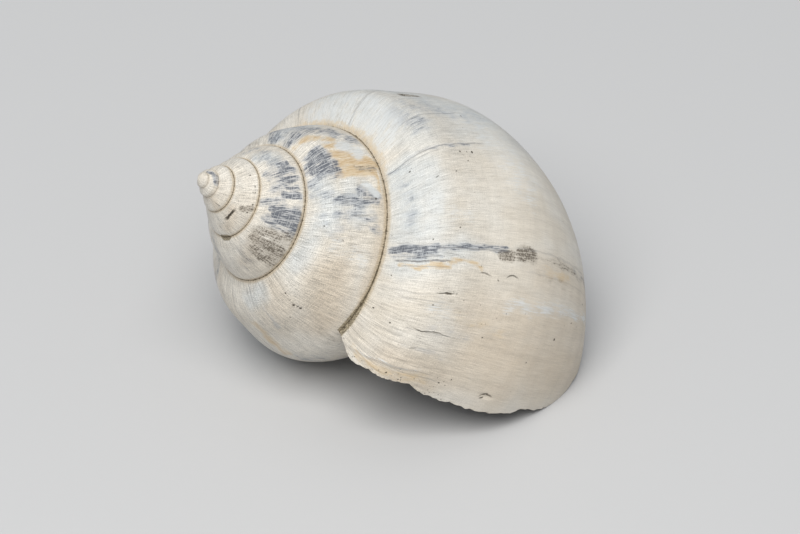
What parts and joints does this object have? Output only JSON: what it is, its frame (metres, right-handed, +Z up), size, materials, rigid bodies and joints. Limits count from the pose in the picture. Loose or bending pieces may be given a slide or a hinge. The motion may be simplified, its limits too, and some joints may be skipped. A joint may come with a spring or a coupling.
{
  "type": "fossil natica shell",
  "caption": "Globular coiled sea snail shell, fossil, chalky ivory with grey-blue patches, hollow last whorl with a broken thin lip, lying on its mouth.",
  "frame": {"origin": "on the surface it rests on, under the middle of the shell's box", "axes": "+Z up; the spire points to -X and the base of the shell to +X, with the axis dipping towards the base; -Y is the side the picture shows"},
  "size_m": [0.0534, 0.047, 0.0361],
  "materials": {
    "chalky_shell": "chalky ivory shell with a faint satin shine, fine growth lines, grey-blue and ochre stains and dark dirt in the sutures"
  },
  "bodies": {
    "root": {"shell": "chalky_shell"}
  },
  "joints": []
}
